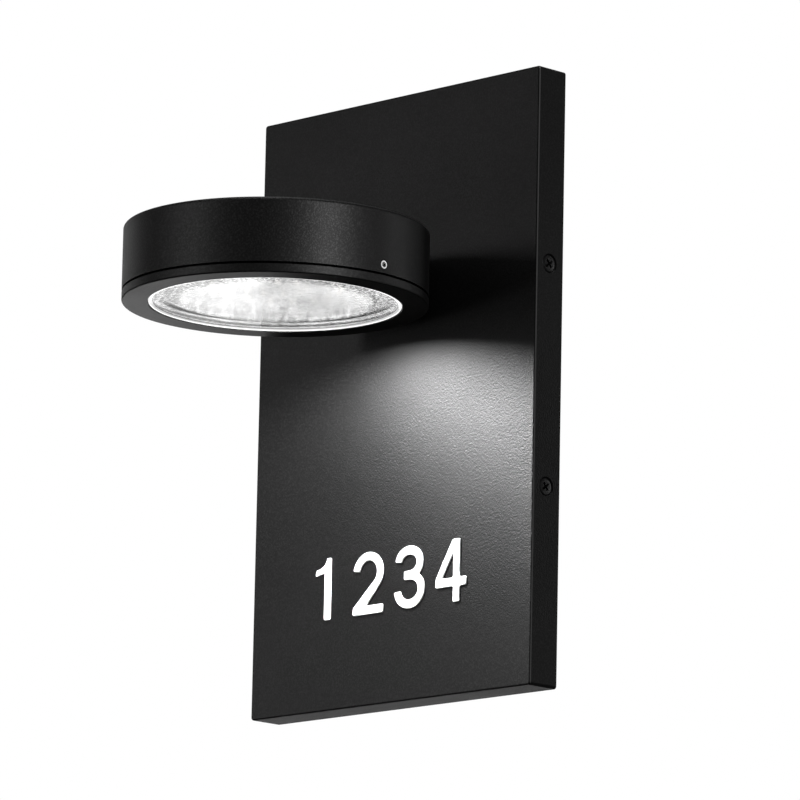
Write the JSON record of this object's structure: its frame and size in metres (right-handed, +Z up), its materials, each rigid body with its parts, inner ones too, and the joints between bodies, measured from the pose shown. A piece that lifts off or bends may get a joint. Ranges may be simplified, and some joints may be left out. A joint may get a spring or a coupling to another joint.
{
  "type": "wall light",
  "caption": "Wall light with a flat box cover on a wall bracket and a round downlight drum that lights the panel below it.",
  "frame": {"origin": "centre of the wall bracket's two screw slots, on the wall plane, which is also the centre of the box cover", "axes": "+Z up, +Y into the wall, -Y to the room, +X to the right seen from the room"},
  "size_m": [0.192, 0.1754, 0.305],
  "materials": {
    "black_coat": "matte",
    "zinc_steel": "satin",
    "plain_steel": "satin",
    "stainless": "satin",
    "black_steel": "satin",
    "brass_metal": "satin",
    "black_nylon": "matte",
    "white_nylon": "matte",
    "black_rubber": "matte",
    "clear_silicone": "satin",
    "lead_sheath": "satin",
    "core_sheath": "satin",
    "earth_sheath": "satin",
    "bare_aluminium": "satin",
    "board_mask": "satin",
    "led_glow": "gloss",
    "reflector_metal": "polished",
    "driver_case": "matte",
    "lens_glass": "gloss"
  },
  "bodies": {
    "lamp_body": {"mounting_bracket": "zinc_steel", "rivet_nuts": "plain_steel", "cable_bush": "black_nylon", "earth_washer": "plain_steel", "earth_lug": "plain_steel", "earth_screw": "brass_metal", "earth_lead": "earth_sheath", "terminal_block": "white_nylon", "terminal_clamps": "brass_metal", "clamp_screws": "plain_steel", "block_screws": "plain_steel", "wall_strip": "black_rubber", "cover_box": "black_coat", "cover_screws": "black_steel", "neck_gasket": "black_rubber", "neck_screws": "plain_steel", "lamp_housing": "black_coat", "wire_grommet": "black_rubber", "driver_lead": "lead_sheath", "lead_cores": "core_sheath", "carrier_plate": "bare_aluminium", "carrier_screws": "plain_steel", "led_driver": "driver_case", "driver_screws": "plain_steel", "board_lead": "core_sheath", "led_board": "board_mask", "led_packages": "led_glow", "board_screws": "plain_steel", "reflector": "reflector_metal", "bezel_grub_screws": "stainless"},
    "bezel": {"bezel_ring": "black_coat", "seam_seal": "black_rubber", "lens_gasket": "clear_silicone", "glass_lens": "lens_glass", "lens_snap_ring": "plain_steel"}
  },
  "joints": [
    {"name": "bezel_drop", "type": "slide", "parent": "lamp_body", "child": "bezel", "axis": [0, 0, -1], "range_m": [0, 0.025]}
  ]
}
